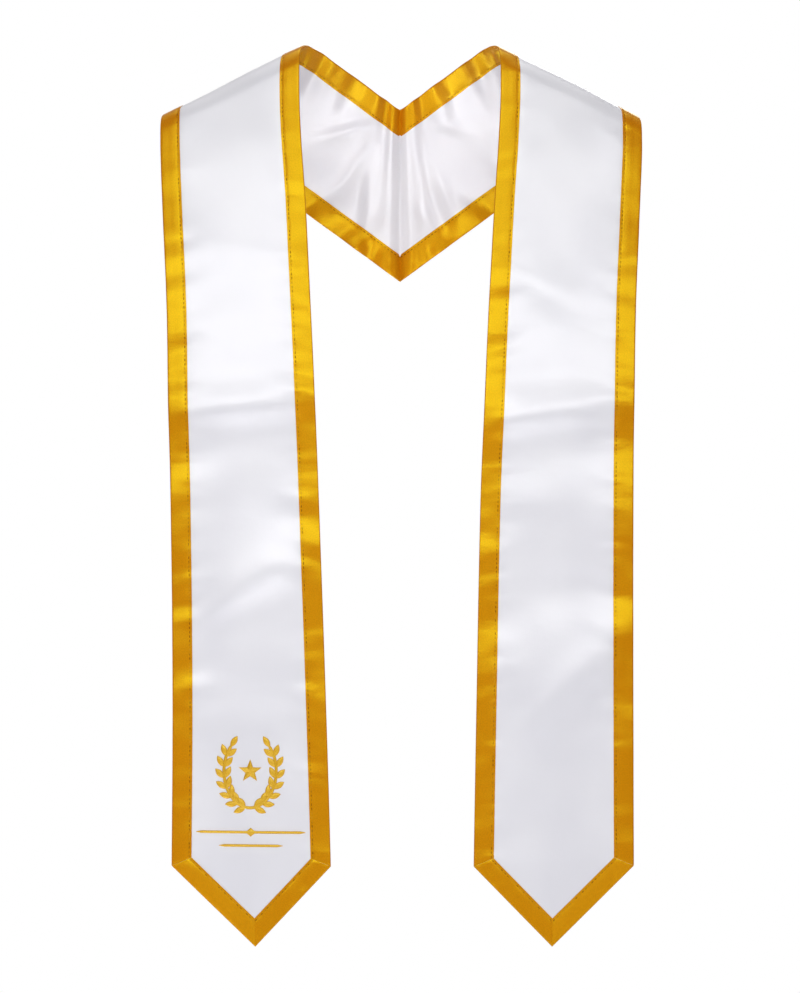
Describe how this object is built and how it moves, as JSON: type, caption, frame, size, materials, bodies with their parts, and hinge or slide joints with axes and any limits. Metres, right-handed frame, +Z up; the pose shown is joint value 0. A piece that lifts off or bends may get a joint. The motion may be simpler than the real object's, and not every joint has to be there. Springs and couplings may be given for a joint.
{
  "type": "graduation stole",
  "caption": "Graduation stole in worn shape: satin bands meet in a V at the back, cross the shoulders and hang to pointed hems, with ribbon-bound edges and an embroidered wreath.",
  "frame": {"origin": "middle of the wearer's neck, level with the neck ends of the two shoulder lines", "axes": "+Z up, the front faces -Y, +X is the wearer's left"},
  "size_m": [0.3989, 0.1633, 0.7458],
  "materials": {
    "white_satin": "smooth polyester satin with a soft broad gloss",
    "gold_ribbon": "glossy polyester satin ribbon in deep gold",
    "gold_thread": "raised satin stitch in gold rayon embroidery thread"
  },
  "bodies": {
    "root": {"left_panel": "white_satin", "right_panel": "white_satin", "left_neck_trim": "gold_ribbon", "right_neck_trim": "gold_ribbon", "left_outer_trim": "gold_ribbon", "right_outer_trim": "gold_ribbon", "left_hem_trim": "gold_ribbon", "right_hem_trim": "gold_ribbon", "emblem_wreath": "gold_thread", "emblem_star": "gold_thread", "emblem_rule": "gold_thread", "emblem_short_rule": "gold_thread"}
  },
  "joints": []
}
